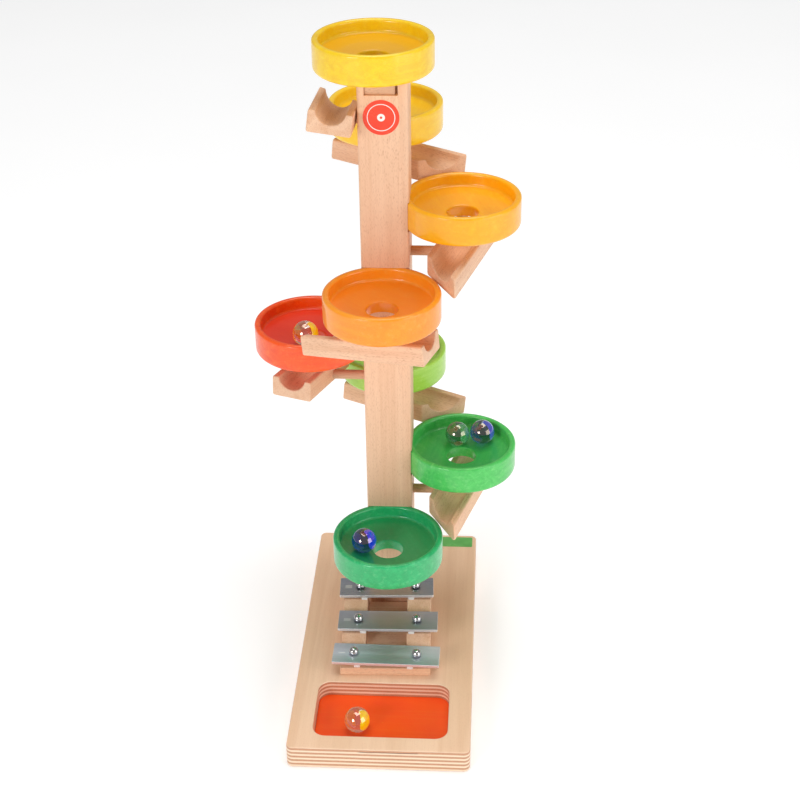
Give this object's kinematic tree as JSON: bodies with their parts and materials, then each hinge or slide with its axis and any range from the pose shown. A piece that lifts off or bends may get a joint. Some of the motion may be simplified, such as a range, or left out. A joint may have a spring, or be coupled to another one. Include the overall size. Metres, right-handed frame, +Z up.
{
  "type": "marble run",
  "caption": "Wooden marble run: a square post carries a spiral of turned bowls joined by grooved channels, ending in stepped sound plates and a catch tray.",
  "frame": {"origin": "centre of the base board's footprint, on its underside", "axes": "+X to the right and +Y to the back when seen from the tray end, +Z up along the post"},
  "size_m": [0.1645, 0.238, 0.4072],
  "materials": {
    "birch_plywood": "clear satin lacquer on birch plywood",
    "orange_panel": "orange satin paint on plywood",
    "beech": "clear oiled beech",
    "bowl_1_colour": "bright yellow stain under satin lacquer",
    "bowl_2_colour": "golden yellow stain under satin lacquer",
    "bowl_3_colour": "amber stain under satin lacquer",
    "bowl_4_colour": "orange stain under satin lacquer",
    "bowl_5_colour": "red-orange stain under satin lacquer",
    "bowl_6_colour": "light green stain under satin lacquer",
    "bowl_7_colour": "mid green stain under satin lacquer",
    "bowl_8_colour": "deep green stain under satin lacquer",
    "brushed_aluminium": "fine brushed, sawn ends",
    "steel_pins": "polished nickel-plated steel",
    "white_felt": "pressed white felt",
    "red_sticker": "printed vinyl, plain",
    "green_label": "printed vinyl, plain",
    "glass_amber": "clear glass with a yellow swirl",
    "glass_clear": "clear glass with a yellow swirl",
    "glass_green": "green-tinted clear glass with dark swirl",
    "glass_violet": "dark blue glass with a violet swirl",
    "glass_blue": "cobalt blue glass"
  },
  "bodies": {
    "frame": {"base_board": "birch_plywood", "tray_floor": "orange_panel", "post": "beech", "slot_filler": "beech", "channel_pegs": "beech", "rail_left": "beech", "rail_right": "beech", "cross_board": "beech", "centre_board": "beech", "plate_pins": "steel_pins", "plate_pads": "white_felt", "sticker": "red_sticker", "rear_label": "green_label", "bowl_1": "bowl_1_colour", "bowl_2": "bowl_2_colour", "bowl_3": "bowl_3_colour", "bowl_4": "bowl_4_colour", "bowl_5": "bowl_5_colour", "bowl_6": "bowl_6_colour", "bowl_7": "bowl_7_colour", "bowl_8": "bowl_8_colour", "channel_1": "beech", "channel_2": "beech", "channel_3": "beech", "channel_4": "beech", "channel_5": "beech", "channel_6": "beech", "channel_7": "beech"},
    "tray_marble_body": {"marble_clear": "glass_clear"},
    "amber_marble_body": {"marble_amber": "glass_amber"},
    "green_marble_body": {"marble_green": "glass_green"},
    "violet_marble_body": {"marble_violet": "glass_violet"},
    "blue_marble_body": {"marble_blue": "glass_blue"},
    "upper_plate": {"sound_plate_1": "brushed_aluminium"},
    "middle_plate": {"sound_plate_2": "brushed_aluminium"},
    "lower_plate": {"sound_plate_3": "brushed_aluminium"}
  },
  "joints": [
    {"name": "amber_marble_swirl", "type": "hinge", "parent": "frame", "child": "amber_marble_body", "pos_m": [-0.0485, 0.045, 0.2253], "axis": [0, 0, 1], "continuous": true},
    {"name": "green_marble_swirl", "type": "hinge", "parent": "frame", "child": "green_marble_body", "pos_m": [0.046, 0.045, 0.139], "axis": [0, 0, 1], "range_deg": [0, 115]},
    {"name": "violet_marble_swirl", "type": "hinge", "parent": "frame", "child": "violet_marble_body", "pos_m": [0.046, 0.045, 0.139], "axis": [0, 0, 1], "range_deg": [-115, 0]},
    {"name": "blue_marble_swirl", "type": "hinge", "parent": "frame", "child": "blue_marble_body", "pos_m": [0.0006, -0.001, 0.0961], "axis": [0, 0, 1], "continuous": true},
    {"name": "tray_marble_roll", "type": "slide", "parent": "frame", "child": "tray_marble_body", "axis": [1, 0, 0], "range_m": [-0.018, 0.047]},
    {"name": "upper_plate_lift", "type": "slide", "parent": "frame", "child": "upper_plate", "axis": [0, 0, 1], "range_m": [0, 0.0006]},
    {"name": "middle_plate_lift", "type": "slide", "parent": "frame", "child": "middle_plate", "axis": [0, 0, 1], "range_m": [0, 0.0006]},
    {"name": "lower_plate_lift", "type": "slide", "parent": "frame", "child": "lower_plate", "axis": [0, 0, 1], "range_m": [0, 0.0006]}
  ]
}
